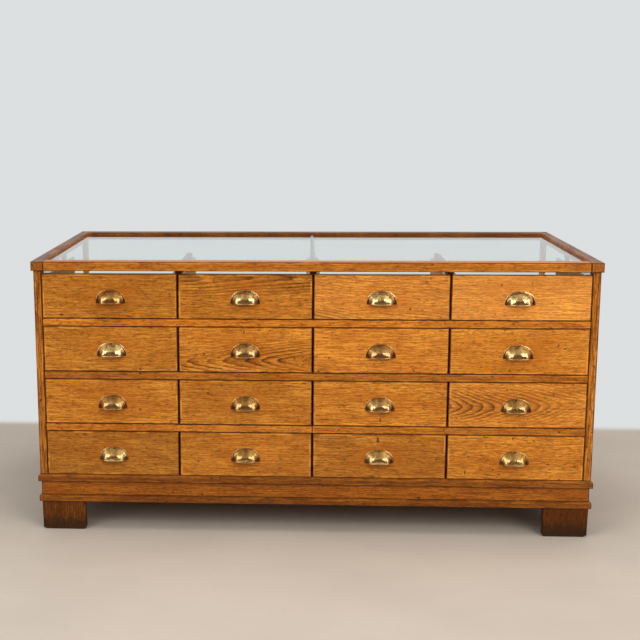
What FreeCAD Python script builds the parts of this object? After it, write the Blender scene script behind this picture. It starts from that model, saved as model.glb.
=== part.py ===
import FreeCAD, Part
import math
import os
import re
import Sketcher

# Oak shop display counter. Millimetres, X along the front, Y to the rear, Z up.
# The origin is on the floor, under the middle of the counter. In the formulas
# below y is counted from the front of the carcass, and place() moves each
# piece back to the origin.

os.makedirs("parts", exist_ok=True)
document = FreeCAD.newDocument("counter")

SIZES = {
    # overall
    "counter_length": 1830,
    "counter_depth": 914,
    "counter_height": 912,
    "end_overhang": 6,
    "front_overhang": 11,
    # top frame and its glass
    "top_rail_height": 30,
    "end_rail_width": 40,
    "long_rail_width": 60,
    "ledge_width": 10,
    "top_glass_thickness": 5,
    "top_glass_recess": 9,
    "glass_gap": 1,
    "bar_width": 14,
    "bar_height": 16,
    "bar_shelf": 2.5,
    "bar_web": 3,
    # posts, ends and far side
    "post_width": 25,
    "post_depth": 45,
    "frame_thickness": 19,
    "sill_height": 40,
    "bottom_rail_height": 60,
    "upright_width": 60,
    "light_bar_width": 20,
    "panel_thickness": 8,
    "panel_groove": 8,
    "panel_clearance": 0.3,
    "light_glass_thickness": 4,
    "glass_groove": 6,
    # drawer bays
    "shelf_rail_height": 26,
    "shelf_rail_depth": 60,
    "rear_bearer_depth": 40,
    "divider_thickness": 18,
    "guide_width": 21,
    "guide_height": 30,
    "runner_bearing": 20,
    "top_bay_rise": 6.5,
    "deck_thickness": 18,
    "base_thickness": 18,
    # drawers
    "front_thickness": 20,
    "side_thickness": 12,
    "back_thickness": 10,
    "bottom_thickness": 7,
    "bottom_lift": 9,
    "bottom_groove": 5,
    "drawer_end_room": 53,
    "top_drawer_length": 430,
    "top_slot": 11,
    "front_reveal": 1,
    "end_reveal": 2,
    "column_gap": 6,
    "side_clearance": 0.5,
    "running_clearance": 0.3,
    "stop_clearance": 0.3,
    "side_drop": 5,
    "back_drop": 12,
    "top_back_drop": 58,
    "tail_length": 13,
    "tail_flare": 2,
    "pin_width": 16,
    # cup pulls
    "pull_width": 96,
    "pull_height": 45,
    "pull_projection": 26,
    "pull_wall": 1.8,
    "pull_flange": 8,
    "crown_width": 0.7,
    "crown_height": 0.54,
    # plinth and feet
    "foot_height": 98,
    "foot_width": 146,
    "foot_thickness": 26,
    "foot_recess": 3,
    "foot_taper": 8,
    "foot_corner": 7,
    "low_moulding_height": 23.5,
    "low_moulding_projection": 4.5,
    "low_moulding_nose": 5,
    "fascia_height": 47.5,
    "fascia_thickness": 20,
    "fascia_recess": 3,
    "cap_height": 24.5,
    "cap_projection": 6.5,
    "cap_nose": 9,
    "moulding_depth": 45,
}

# Places and sizes worked out from the driving dimensions
DERIVED = {
    "half_length": "counter_length / 2",
    "half_carcass": "half_length - end_overhang",
    "carcass_depth": "counter_depth - 2 * front_overhang",
    "front_plane": "(pull_projection + front_overhang - counter_depth) / 2",
    "frame_bottom": "counter_height - top_rail_height",
    "ledge_top": "counter_height - top_glass_recess - top_glass_thickness",
    "post_inner": "half_carcass - post_width",
    "end_inner": "half_carcass - frame_thickness",
    "frame_middle": "frame_thickness / 2",
    "rear_inner": "carcass_depth - frame_thickness",
    "long_drawer_length": "rear_inner - drawer_end_room",
    "rear_post_front": "carcass_depth - post_depth",
    "plinth_top": "foot_height + low_moulding_height + fascia_height + cap_height",
    "bay_height": "(frame_bottom - top_bay_rise - plinth_top - 3 * shelf_rail_height) / 4",
    "row_pitch": "bay_height + shelf_rail_height",
    "top_floor": "plinth_top + 3 * row_pitch",
    "sill_bottom": "top_floor - sill_height",
    "panel_foot": "plinth_top + bottom_rail_height",
    "bay_width": "(2 * end_inner - 3 * divider_thickness - 2 * guide_width) / 4",
    "column_pitch": "bay_width + divider_thickness",
    "box_width": "bay_width - 2 * side_clearance",
    "inside_width": "box_width - 2 * side_thickness",
    "divider_front": "front_thickness + stop_clearance",
    "bearer_front": "rear_inner - rear_bearer_depth",
    "top_bearer_front": "top_drawer_length + 2",
    "deck_front": "top_bearer_front + rear_bearer_depth",
    "dome_across": "pull_width / 2 - pull_flange",
    "dome_height": "pull_height - pull_flange",
}

ROWS = (1, 2, 3, 4)
COLUMNS = (1, 2, 3, 4)
TAILS = 3
ARCH_STEPS = 10
ARCH_POWER = 2 / 2.4
DOME_TILTS = (0, 30, 60, 90)
WORD = re.compile("[a-z][a-z_]+[a-z]")

sheet = document.addObject("Spreadsheet::Sheet", "sheet")
for number_of_row, (alias, size) in enumerate(SIZES.items(), start=1):
    cell = "A{}".format(number_of_row)
    sheet.set(cell, str(size))
    sheet.setAlias(cell, alias)
gauge = document.addObject("App::FeaturePython", "gauge")
gauge.addProperty("App::PropertyFloat", "Reading")
document.recompute()


def formula(text):
    """Writes a formula out in the sheet's own cells."""
    def cells(match):
        word = match.group(0)
        if word in DERIVED:
            return "({})".format(formula(DERIVED[word]))
        if word in SIZES:
            return "sheet.{}".format(word)
        return word
    return WORD.sub(cells, text)


def number(text):
    """Reads a formula's present value."""
    gauge.setExpression("Reading", formula(text))
    gauge.recompute()
    return gauge.Reading


nodes = []


def place(piece, x="0", y="0", z="0"):
    """Sets a piece down, with y counted from the carcass front."""
    piece.setExpression("Placement.Base.x", formula(x))
    piece.setExpression("Placement.Base.y", formula("front_plane + " + y))
    piece.setExpression("Placement.Base.z", formula(z))
    return piece


def set_down(piece, x="0", y="0", z="0"):
    """Sets a piece down in its own drawer's frame."""
    piece.setExpression("Placement.Base.x", formula(x))
    piece.setExpression("Placement.Base.y", formula(y))
    piece.setExpression("Placement.Base.z", formula(z))
    return piece


def block(name, x, y, z, put=place):
    """A squared board: each of x, y and z is a pair, where it starts and ends."""
    board = document.addObject("Part::Box", name)
    for side, (start, end) in zip(("Length", "Width", "Height"), (x, y, z)):
        board.setExpression(side, formula("({}) - ({})".format(end, start)))
    return put(board, x[0], y[0], z[0])


def cut(name, board, tools):
    """Takes the tools away from a board."""
    tool = tools[0]
    if len(tools) > 1:
        tool = document.addObject("Part::Compound", name + "_tools")
        tool.Links = tools
    result = document.addObject("Part::Cut", name)
    result.Base = board
    result.Tool = tool
    return result


def node(label, pieces):
    """Names a sub-part: one piece, or several that stay separate solids."""
    if len(pieces) == 1:
        result = pieces[0]
    else:
        result = document.addObject("Part::Compound", label)
        result.Links = pieces
    result.Label = label
    nodes.append(result)
    return result


def body_plane(body, role):
    return next(item for item in body.Origin.OriginFeatures if item.Role == role)


def sketch_on(body, role, name):
    sketch = body.newObject("Sketcher::SketchObject", name)
    sketch.AttachmentSupport = [(body_plane(body, role), "")]
    sketch.MapMode = "FlatFace"
    return sketch


def pin_point(sketch, edge, end, across, up):
    """Holds one end of an edge at a place given by two formulas."""
    for kind, text in (("DistanceX", across), ("DistanceY", up)):
        index = sketch.addConstraint(
            Sketcher.Constraint(kind, -1, 1, edge, end, number(text)))
        sketch.setExpression("Constraints[{}]".format(index), formula(text))


def outline(sketch, points):
    """A closed outline of straight edges through points given as formulas."""
    spots = [FreeCAD.Vector(number(across), number(up), 0) for across, up in points]
    first = sketch.GeometryCount
    count = len(points)
    for index in range(count):
        sketch.addGeometry(Part.LineSegment(spots[index], spots[(index + 1) % count]))
    for index in range(count):
        edge = first + index
        sketch.addConstraint(
            Sketcher.Constraint("Coincident", edge, 2, first + (index + 1) % count, 1))
        pin_point(sketch, edge, 1, *points[index])


def pad(body, sketch, length, name):
    feature = body.newObject("PartDesign::Pad", name)
    feature.Profile = (sketch, [""])
    feature.setExpression("Length", formula(length))
    return feature


def pocket_through(body, sketch, name):
    feature = body.newObject("PartDesign::Pocket", name)
    feature.Profile = (sketch, [""])
    feature.Type = "ThroughAll"
    feature.SideType = "Symmetric"
    return feature


def new_body(name):
    return document.addObject("PartDesign::Body", name)


# Top frame: end rails run through, long rails stand between them
def top_frame():
    high = ("frame_bottom", "counter_height")
    rebate = ("ledge_top", "counter_height + 1")
    rear_edge = "counter_depth - front_overhang"
    ledge_front = "long_rail_width - ledge_width - front_overhang"
    ledge_rear = "counter_depth + ledge_width - long_rail_width - front_overhang"
    ledge_end = "half_length + ledge_width - end_rail_width"
    rail_end = "half_length - end_rail_width"

    rear_groove = block(
        "rear_light_groove",
        ("-end_inner - glass_groove", "end_inner + glass_groove"),
        ("rear_inner + frame_middle - light_glass_thickness / 2 - panel_clearance",
         "rear_inner + frame_middle + light_glass_thickness / 2 + panel_clearance"),
        ("frame_bottom - 1", "frame_bottom + glass_groove"))

    for side, sign in (("left", "-"), ("right", "")):
        span = from_outside(sign, "half_length", "({})".format(rail_end))
        shelf = from_outside(sign, "({})".format(ledge_end), "({})".format(rail_end))
        rail = block("top_rail_" + side + "_blank", span, ("-front_overhang", rear_edge), high)
        ledge = block("ledge_" + side, shelf, (ledge_front, ledge_rear), rebate)
        middle = sign + "(end_inner + frame_middle)"
        groove = block(
            "end_light_groove_" + side,
            (middle + " - light_glass_thickness / 2 - panel_clearance",
             middle + " + light_glass_thickness / 2 + panel_clearance"),
            ("post_depth - glass_groove", "rear_post_front + glass_groove"),
            ("frame_bottom - 1", "frame_bottom + glass_groove"))
        node("top_rail_" + side, [cut("top_rail_" + side, rail, [ledge, groove, rear_groove])])

    across = ("-({})".format(rail_end), rail_end)
    inner_front = "long_rail_width - front_overhang"
    inner_rear = "counter_depth - long_rail_width - front_overhang"
    front = block("top_rail_front_blank", across, ("-front_overhang", inner_front), high)
    front_ledge = block("ledge_front", across, (ledge_front, inner_front), rebate)
    node("top_rail_front", [cut("top_rail_front", front, [front_ledge])])
    rear = block("top_rail_rear_blank", across, (inner_rear, rear_edge), high)
    rear_ledge = block("ledge_rear", across, (inner_rear, ledge_rear), rebate)
    node("top_rail_rear", [cut("top_rail_rear", rear, [rear_ledge, rear_groove])])

    bar = new_body("top_glazing_bar")
    section = sketch_on(bar, "XZ_Plane", "bar_section")
    outline(section, [
        ("-bar_web / 2", "-bar_height"),
        ("bar_web / 2", "-bar_height"),
        ("bar_web / 2", "-bar_shelf"),
        ("bar_width / 2", "-bar_shelf"),
        ("bar_width / 2", "0"),
        ("bar_web / 2", "0"),
        ("bar_web / 2", "top_glass_thickness"),
        ("-bar_web / 2", "top_glass_thickness"),
        ("-bar_web / 2", "0"),
        ("-bar_width / 2", "0"),
        ("-bar_width / 2", "-bar_shelf"),
        ("-bar_web / 2", "-bar_shelf"),
    ])
    pad(bar, section, "({}) - ({})".format(inner_rear, inner_front), "bar_length").Reversed = True
    node("top_glazing_bar", [place(bar, y=inner_front, z="ledge_top")])

    pane_end = "({}) - glass_gap".format(ledge_end)
    pane_inner = "bar_web / 2 + glass_gap"
    pane_deep = (ledge_front + " + glass_gap", ledge_rear + " - glass_gap")
    pane_high = ("ledge_top", "ledge_top + top_glass_thickness")
    node("top_glass", [
        block("top_pane_left", ("-({})".format(pane_end), "-({})".format(pane_inner)),
              pane_deep, pane_high),
        block("top_pane_right", (pane_inner, pane_end), pane_deep, pane_high),
    ])


# Grooves that take the lights and the panels
GLASS_HALF = "(light_glass_thickness / 2 + panel_clearance)"
PANEL_HALF = "(panel_thickness / 2 + panel_clearance)"
LIGHT_HIGH = ("top_floor - glass_groove", "frame_bottom + 1")
PANEL_HIGH = ("panel_foot - panel_groove", "sill_bottom + panel_groove")


def around(middle, half):
    """The pair that lies half to each side of a middle."""
    return (middle + " - " + half, middle + " + " + half)


def from_outside(sign, outer, inner):
    """The pair between an outer and an inner place, smaller number first."""
    return (sign + outer, sign + inner) if sign else (inner, outer)


# Posts: the front pair is thicker and shows between the drawers and the ends
def posts():
    tall = ("plinth_top", "frame_bottom")
    rear_middle = "rear_inner + frame_middle"
    for side, sign in (("left", "-"), ("right", "")):
        end_middle = sign + "(end_inner + frame_middle)"

        name = "front_post_" + side
        blank = block(name + "_blank", from_outside(sign, "half_carcass", "post_inner"),
                      ("0", "post_depth"), tall)
        grooves = [
            block(name + "_light_groove", around(end_middle, GLASS_HALF),
                  ("post_depth - glass_groove", "post_depth + 1"), LIGHT_HIGH),
            block(name + "_panel_groove", around(end_middle, PANEL_HALF),
                  ("post_depth - panel_groove", "post_depth + 1"), PANEL_HIGH),
        ]
        node(name, [cut(name, blank, grooves)])

        name = "rear_post_" + side
        blank = block(name + "_blank", from_outside(sign, "half_carcass", "end_inner"),
                      ("rear_post_front", "carcass_depth"), tall)
        open_side = "(end_inner - 1)"
        light_depth = from_outside(sign, "(end_inner + glass_groove)", open_side)
        panel_depth = from_outside(sign, "(end_inner + panel_groove)", open_side)
        grooves = [
            block(name + "_light_groove", around(end_middle, GLASS_HALF),
                  ("rear_post_front - 1", "rear_post_front + glass_groove"), LIGHT_HIGH),
            block(name + "_panel_groove", around(end_middle, PANEL_HALF),
                  ("rear_post_front - 1", "rear_post_front + panel_groove"), PANEL_HIGH),
            block(name + "_rear_light_groove", light_depth,
                  around(rear_middle, GLASS_HALF), LIGHT_HIGH),
            block(name + "_rear_panel_groove", panel_depth,
                  around(rear_middle, PANEL_HALF), PANEL_HIGH),
        ]
        node(name, [cut(name, blank, grooves)])


# Ends: sill, bottom rail, upright and light bar, with two panels and two lights
def ends():
    run = ("post_depth", "rear_post_front")
    centre = "carcass_depth / 2"
    upright = around(centre, "upright_width / 2")
    bar = around(centre, "light_bar_width / 2")
    panes = []
    for side, sign in (("left", "-"), ("right", "")):
        middle = sign + "(end_inner + frame_middle)"
        thick = around(middle, "frame_middle")
        glass_thick = around(middle, "light_glass_thickness / 2")
        panel_thick = around(middle, "panel_thickness / 2")
        glass_cut = around(middle, GLASS_HALF)
        panel_cut = around(middle, PANEL_HALF)
        name = "end_{}_".format(side)

        sill = cut(name + "sill", block(name + "sill_blank", thick, run,
                                        ("sill_bottom", "top_floor")), [
            block(name + "sill_light_groove", glass_cut, run,
                  ("top_floor - glass_groove", "top_floor + 1")),
            block(name + "sill_panel_groove", panel_cut, run,
                  ("sill_bottom - 1", "sill_bottom + panel_groove")),
        ])
        bottom = cut(name + "bottom_rail", block(name + "bottom_blank", thick, run,
                                                 ("plinth_top", "panel_foot")), [
            block(name + "bottom_groove", panel_cut, run,
                  ("panel_foot - panel_groove", "panel_foot + 1")),
        ])
        stem = cut(name + "upright", block(name + "upright_blank", thick, upright,
                                           ("panel_foot", "sill_bottom")), [
            block(name + "upright_groove_front", panel_cut,
                  (upright[0] + " - 1", upright[0] + " + panel_groove"),
                  ("panel_foot - 1", "sill_bottom + 1")),
            block(name + "upright_groove_rear", panel_cut,
                  (upright[1] + " - panel_groove", upright[1] + " + 1"),
                  ("panel_foot - 1", "sill_bottom + 1")),
        ])
        light_bar = cut(name + "light_bar", block(name + "light_bar_blank", thick, bar,
                                                  ("top_floor", "frame_bottom")), [
            block(name + "bar_groove_front", glass_cut,
                  (bar[0] + " - 1", bar[0] + " + glass_groove"),
                  ("top_floor - 1", "frame_bottom + 1")),
            block(name + "bar_groove_rear", glass_cut,
                  (bar[1] + " - glass_groove", bar[1] + " + 1"),
                  ("top_floor - 1", "frame_bottom + 1")),
        ])
        node("end_frame_" + side, [sill, bottom, stem, light_bar])

        slack = "panel_groove - 2 * panel_clearance"
        panel_high = ("panel_foot - ({})".format(slack), "sill_bottom + ({})".format(slack))
        node("end_panels_" + side, [
            block(name + "panel_front", panel_thick,
                  ("post_depth - ({})".format(slack), upright[0] + " + ({})".format(slack)),
                  panel_high),
            block(name + "panel_rear", panel_thick,
                  (upright[1] + " - ({})".format(slack),
                   "rear_post_front + ({})".format(slack)), panel_high),
        ])

        bite = "glass_groove - 2 * panel_clearance"
        pane_high = ("top_floor - ({})".format(bite), "frame_bottom + ({})".format(bite))
        panes += [
            block(name + "pane_front", glass_thick,
                  ("post_depth - ({})".format(bite), bar[0] + " + ({})".format(bite)),
                  pane_high),
            block(name + "pane_rear", glass_thick,
                  (bar[1] + " - ({})".format(bite), "rear_post_front + ({})".format(bite)),
                  pane_high),
        ]
    node("end_glass", panes)


# Far side: one long light over four panels between three uprights
def far_side():
    across = ("-end_inner", "end_inner")
    middle = "rear_inner + frame_middle"
    thick = ("rear_inner", "carcass_depth")
    glass_cut = around(middle, GLASS_HALF)
    panel_cut = around(middle, PANEL_HALF)
    sill = cut("rear_sill", block("rear_sill_blank", across, thick,
                                  ("sill_bottom", "top_floor")), [
        block("rear_sill_light_groove", across, glass_cut,
              ("top_floor - glass_groove", "top_floor + 1")),
        block("rear_sill_panel_groove", across, panel_cut,
              ("sill_bottom - 1", "sill_bottom + panel_groove")),
    ])
    bottom = cut("rear_bottom_rail", block("rear_bottom_blank", across, thick,
                                           ("plinth_top", "panel_foot")), [
        block("rear_bottom_groove", across, panel_cut,
              ("panel_foot - panel_groove", "panel_foot + 1")),
    ])
    pieces = [sill, bottom]
    pitch = "(end_inner / 2)"
    edges = ["-end_inner"]
    for place_number in (-1, 0, 1):
        stem = around("{} * {}".format(place_number, pitch), "upright_width / 2")
        name = "rear_upright_{}".format(place_number + 2)
        tall = ("panel_foot - 1", "sill_bottom + 1")
        pieces.append(cut(name, block(name + "_blank", stem, thick,
                                      ("panel_foot", "sill_bottom")), [
            block(name + "_groove_a", (stem[0] + " - 1", stem[0] + " + panel_groove"),
                  panel_cut, tall),
            block(name + "_groove_b", (stem[1] + " - panel_groove", stem[1] + " + 1"),
                  panel_cut, tall),
        ]))
        edges += [stem[0], stem[1]]
    edges.append("end_inner")
    node("rear_frame", pieces)

    slack = "(panel_groove - 2 * panel_clearance)"
    panel_high = ("panel_foot - " + slack, "sill_bottom + " + slack)
    panels = []
    for index in range(4):
        span = (edges[2 * index] + " - " + slack, edges[2 * index + 1] + " + " + slack)
        panels.append(block("rear_panel_{}".format(index + 1), span,
                            around(middle, "panel_thickness / 2"), panel_high))
    node("rear_panels", panels)

    bite = "(glass_groove - 2 * panel_clearance)"
    node("rear_glass", [block(
        "rear_glass", ("-end_inner - " + bite, "end_inner + " + bite),
        around(middle, "light_glass_thickness / 2"),
        ("top_floor - " + bite, "frame_bottom + " + bite))])


def bay_floor(row):
    """Height of the floor of a row, counted from the top row down."""
    return "(plinth_top + {} * row_pitch)".format(4 - row)


def column_middle(column):
    return "({} * column_pitch)".format(column - 2.5)


def divider_middle(index):
    return "({} * column_pitch)".format(index - 2)


# Drawer bays: front rails, bearers, runners, guides and dividers
def drawer_bays():
    rails = []
    runners = []
    dividers = []
    for row in ROWS:
        floor = bay_floor(row)
        rear_end = "top_bearer_front" if row == 1 else "bearer_front"
        if row != 4:
            rail_high = (floor + " - shelf_rail_height", floor)
            lengths = [("-post_inner", "post_inner")]
            if row == 3:
                lengths = [("-post_inner", "0"), ("0", "post_inner")]
            for part, span in enumerate(lengths, start=1):
                rails.append(block("rail_under_row{}_{}".format(row, part), span,
                                   ("0", "shelf_rail_depth"), rail_high))
            bearer = (rear_end, rear_end + " + rear_bearer_depth")
            runners.append(block("bearer_row{}".format(row), ("-end_inner", "end_inner"),
                                 bearer, rail_high))
            run = ("shelf_rail_depth", rear_end)
            for index in (1, 2, 3):
                wide = around(divider_middle(index), "(divider_thickness / 2 + runner_bearing)")
                runners.append(block("runner_row{}_{}".format(row, index), wide, run, rail_high))
            wide = "end_inner - guide_width - runner_bearing"
            runners.append(block("runner_row{}_left".format(row),
                                 ("-end_inner", "-({})".format(wide)), run, rail_high))
            runners.append(block("runner_row{}_right".format(row),
                                 (wide, "end_inner"), run, rail_high))
        guide_run = ("shelf_rail_depth", rear_end)
        guide_high = (floor, floor + " + guide_height")
        runners.append(block("guide_row{}_left".format(row),
                             ("-end_inner", "-end_inner + guide_width"), guide_run, guide_high))
        runners.append(block("guide_row{}_right".format(row),
                             ("end_inner - guide_width", "end_inner"), guide_run, guide_high))
        divider_end = "top_bearer_front" if row == 1 else "rear_inner"
        divider_top = "frame_bottom" if row == 1 else floor + " + bay_height"
        for index in (1, 2, 3):
            dividers.append(block("divider_row{}_{}".format(row, index),
                                  around(divider_middle(index), "divider_thickness / 2"),
                                  ("divider_front", divider_end), (floor, divider_top)))
    node("drawer_rails", rails)
    node("drawer_runners", runners)
    node("drawer_dividers", dividers)
    node("display_floor", [block("display_floor", ("-end_inner", "end_inner"),
                                 ("deck_front", "rear_inner"),
                                 ("top_floor - deck_thickness", "top_floor"))])
    rim = "(moulding_depth - cap_projection)"
    node("base_board", [block("base_board",
                              ("-half_carcass + " + rim, "half_carcass - " + rim),
                              (rim, "carcass_depth - " + rim),
                              ("plinth_top - base_thickness", "plinth_top"))])


def mitred_length(name, section_points, rounds, length, turn, x, y, z):
    """A plinth length along its own X, outer face at y 0, mitred at both ends."""
    body = new_body(name)
    section = sketch_on(body, "YZ_Plane", name + "_section")
    outline(section, section_points)
    pad(body, section, length, name + "_pad")
    document.recompute()
    if rounds:
        radius, picks = rounds
        blank = body.Tip
        feature = body.newObject("PartDesign::Fillet", name + "_nose")
        feature.Base = (blank, edges_along_x(blank.Shape, picks))
        feature.setExpression("Radius", formula(radius))
        document.recompute()
    ends_sketch = sketch_on(body, "XY_Plane", name + "_mitres")
    reach = "moulding_depth + 10"
    outline(ends_sketch, [("0", "0"), ("0", reach), (reach, reach)])
    outline(ends_sketch, [(length, "0"), (length + " - ({})".format(reach), reach),
                          (length, reach)])
    pocket_through(body, ends_sketch, name + "_mitre_cut")
    body.Placement.Rotation = FreeCAD.Rotation(FreeCAD.Vector(0, 0, 1), turn)
    return place(body, x, y, z)


def edges_along_x(shape, picks):
    """Names the long edges at the outer face, lower or upper."""
    names = []
    middle_height = shape.BoundBox.Center.z
    for index, edge in enumerate(shape.Edges, start=1):
        box = edge.BoundBox
        if box.XLength < shape.BoundBox.XLength * 0.9 or box.YMin > 0.001:
            continue
        is_upper = box.ZMin > middle_height
        if (is_upper and "upper" in picks) or (not is_upper and "lower" in picks):
            names.append("Edge{}".format(index))
    return names


# Plinth: cap moulding, fascia and lower moulding, mitred round the corners
def plinth():
    stack = [
        ("low_moulding", "foot_height", "low_moulding_height", "-low_moulding_projection",
         "moulding_depth", ("low_moulding_nose", ("upper", "lower"))),
        ("fascia", "foot_height + low_moulding_height", "fascia_height", "fascia_recess",
         "fascia_thickness", None),
        ("cap", "foot_height + low_moulding_height + fascia_height", "cap_height",
         "-cap_projection", "moulding_depth", ("cap_nose", ("upper",))),
    ]
    for side in ("front", "rear", "left", "right"):
        pieces = []
        for part, base, height, inset, depth, rounds in stack:
            box = [("0", "0"), (depth, "0"), (depth, height), ("0", height)]
            inset = "({})".format(inset)
            half = "(half_carcass - {})".format(inset)
            far = "(carcass_depth - {})".format(inset)
            long_length = "2 * " + half
            short_length = "carcass_depth - 2 * " + inset
            length, turn, x, y = {
                "front": (long_length, 0, "-" + half, inset),
                "rear": (long_length, 180, half, far),
                "right": (short_length, 90, half, inset),
                "left": (short_length, 270, "-" + half, far),
            }[side]
            pieces.append(mitred_length("{}_{}".format(part, side), box, rounds,
                                        length, turn, x, y, base))
        node("plinth_" + side, pieces)


# Feet: two mitred boards at each corner, a little narrower at the floor
def feet():
    pieces = []
    half = "(half_carcass - foot_recess)"
    far = "(carcass_depth - foot_recess)"
    corners = {
        "front_left": (0, "-" + half, "foot_recess"),
        "front_right": (90, half, "foot_recess"),
        "rear_right": (180, half, far),
        "rear_left": (270, "-" + half, far),
    }
    for corner, (turn, x, y) in corners.items():
        for hand in ("along", "across"):
            name = "foot_{}_{}".format(corner, hand)
            pieces.append(foot_board(name, hand, turn, x, y))
    node("feet", pieces)


def foot_board(name, hand, turn, x, y):
    """One board of a foot in a corner frame: along lies on X, across on Y."""
    body = new_body(name)
    face = sketch_on(body, "XZ_Plane" if hand == "along" else "YZ_Plane", name + "_face")
    outline(face, [
        ("foot_taper", "0"),
        ("foot_width", "0"),
        ("foot_width", "foot_height"),
        ("0", "foot_height"),
    ])
    board = pad(body, face, "foot_thickness", name + "_pad")
    board.Reversed = hand == "along"
    document.recompute()
    lower = [
        "Edge{}".format(index) for index, edge in enumerate(board.Shape.Edges, start=1)
        if edge.BoundBox.ZMax < 0.001
        and max(edge.BoundBox.XLength, edge.BoundBox.YLength)
        < number("foot_thickness") + 0.001
    ]
    corner = body.newObject("PartDesign::Fillet", name + "_corners")
    corner.Base = (board, lower)
    corner.setExpression("Radius", formula("foot_corner"))
    document.recompute()
    mitre = sketch_on(body, "XY_Plane", name + "_mitre")
    reach = "foot_thickness + 10"
    if hand == "along":
        outline(mitre, [("0", "0"), (reach, reach), ("0", reach)])
    else:
        outline(mitre, [("0", "0"), (reach, "0"), (reach, reach)])
    pocket_through(body, mitre, name + "_mitre_cut")
    body.Placement.Rotation = FreeCAD.Rotation(FreeCAD.Vector(0, 0, 1), turn)
    return place(body, x, y)


# Drawers: dovetailed boxes behind plain fronts that lap the dividers
def drawer_side(name, length, height):
    """A side board along Y whose front end carries the tails."""
    body = new_body(name)
    face = sketch_on(body, "YZ_Plane", name + "_face")
    tip = "(front_thickness - tail_length)"
    outline(face, [(tip, "0"), (length, "0"), (length, height), (tip, height)])
    pad(body, face, "side_thickness", name + "_pad")
    waste = sketch_on(body, "YZ_Plane", name + "_waste")
    for step in range(TAILS + 1):
        middle = "({} * {} / {})".format(step, height, TAILS)
        outline(waste, [
            (tip + " - 1", middle + " - (pin_width / 2 - tail_flare)"),
            ("front_thickness", middle + " - pin_width / 2"),
            ("front_thickness", middle + " + pin_width / 2"),
            (tip + " - 1", middle + " + (pin_width / 2 - tail_flare)"),
        ])
    pocket_through(body, waste, name + "_pins")
    return body


def drawer_masters(kind, length, front_height, back_drop):
    """The boards that all drawers of one kind share, about the drawer's middle."""
    side_height = "({} + front_reveal - running_clearance - side_drop)".format(front_height)
    half_box = "(box_width / 2)"
    inside = "(inside_width / 2)"
    bottom_high = ("bottom_lift", "bottom_lift + bottom_thickness")
    bottom_space = block(
        kind + "_bottom_space",
        ("-{} - bottom_groove".format(inside), inside + " + bottom_groove"),
        ("front_thickness - bottom_groove", length + " + 1"), bottom_high, set_down)
    sides = []
    for hand, start in (("left", "-" + half_box), ("right", inside)):
        side = drawer_side("{}_side_{}".format(kind, hand), length, side_height)
        set_down(side, start)
        sides.append(cut("{}_side_{}_grooved".format(kind, hand), side, [bottom_space]))
    back = block(
        kind + "_back", ("-" + inside, inside), (length + " - back_thickness", length),
        (bottom_high[1], side_height + " - " + back_drop), set_down)
    fit = "(bottom_groove - panel_clearance)"
    bottom = block(
        kind + "_bottom",
        ("-{} - {}".format(inside, fit), "{} + {}".format(inside, fit)),
        ("front_thickness - " + fit, length), bottom_high, set_down)
    lap = "(column_pitch / 2 - column_gap / 2)"
    outer_lap = "(post_inner - end_reveal - 1.5 * column_pitch)"
    lift = "front_reveal - running_clearance"
    fronts = {}
    for place_name, left, right in (("first", outer_lap, lap), ("inner", lap, lap),
                                    ("last", lap, outer_lap)):
        name = "{}_front_{}".format(kind, place_name)
        blank = block(name + "_blank", ("-" + left, right), ("0", "front_thickness"),
                      (lift, "{} + {}".format(lift, front_height)), set_down)
        fronts[place_name] = cut(name, blank, sides + [bottom_space])
    return fronts, sides + [back, bottom]


# Cup pulls: a flattened half dome on a flange, open at the bottom
def arch(sketch, across, up, below=None):
    """A flattened arch from right to left, closed along its lower edge."""
    points = []
    for step in range(ARCH_STEPS + 1):
        angle = math.pi * step / ARCH_STEPS
        reach = math.copysign(abs(math.cos(angle)) ** ARCH_POWER, math.cos(angle))
        rise = math.sin(angle) ** ARCH_POWER
        points.append(("{:.4f} * {}".format(reach, across), "{:.4f} * {}".format(rise, up)))
    if below:
        points += [("-" + across, below), (across, below)]
    outline(sketch, points)


def dome(body, kind, name, across, up, depth, below=None):
    """A dome of arches that shrink towards its crown, added or taken away."""
    sections = []
    for tilt in DOME_TILTS:
        angle = math.radians(tilt)
        section = sketch_on(body, "XZ_Plane", "{}_{}".format(name, tilt))
        shrink = "({0} + (1 - {0}) * %.4f)" % math.cos(angle)
        section.setExpression("AttachmentOffset.Base.z",
                              formula("{} * {:.4f}".format(depth, math.sin(angle))))
        arch(section, "{} * {}".format(shrink.format("crown_width"), across),
             "{} * {}".format(shrink.format("crown_height"), up), below)
        sections.append(section)
    shell = body.newObject(kind, name)
    shell.Profile = (sections[0], [""])
    shell.Sections = sections[1:]
    shell.Ruled = True


def cup_pull():
    body = new_body("cup_pull")
    plate = sketch_on(body, "XZ_Plane", "cup_pull_flange")
    arch(plate, "(pull_width / 2)", "pull_height")
    pad(body, plate, "pull_wall", "cup_pull_plate")
    dome(body, "PartDesign::AdditiveLoft", "cup_pull_dome",
         "dome_across", "dome_height", "pull_projection")
    dome(body, "PartDesign::SubtractiveLoft", "cup_pull_hollow",
         "(dome_across - pull_wall)", "(dome_height - pull_wall)",
         "(pull_projection - pull_wall)", "-1")
    return flat_faced("cup_pull_solid", body)


def flat_faces(corners):
    """One face through the corners, or a fan of triangles where they share no plane."""
    rim = Part.makePolygon(corners + corners[:1])
    if rim.findPlane() is not None:
        return [Part.Face(rim)]
    for start in range(len(corners)):
        first, *others = corners[start:] + corners[:start]
        pairs = list(zip(others, others[1:]))
        if all((a - first).cross(b - first).Length > 0.1 for a, b in pairs):
            return [Part.Face(Part.makePolygon([first, a, b, first])) for a, b in pairs]


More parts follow.
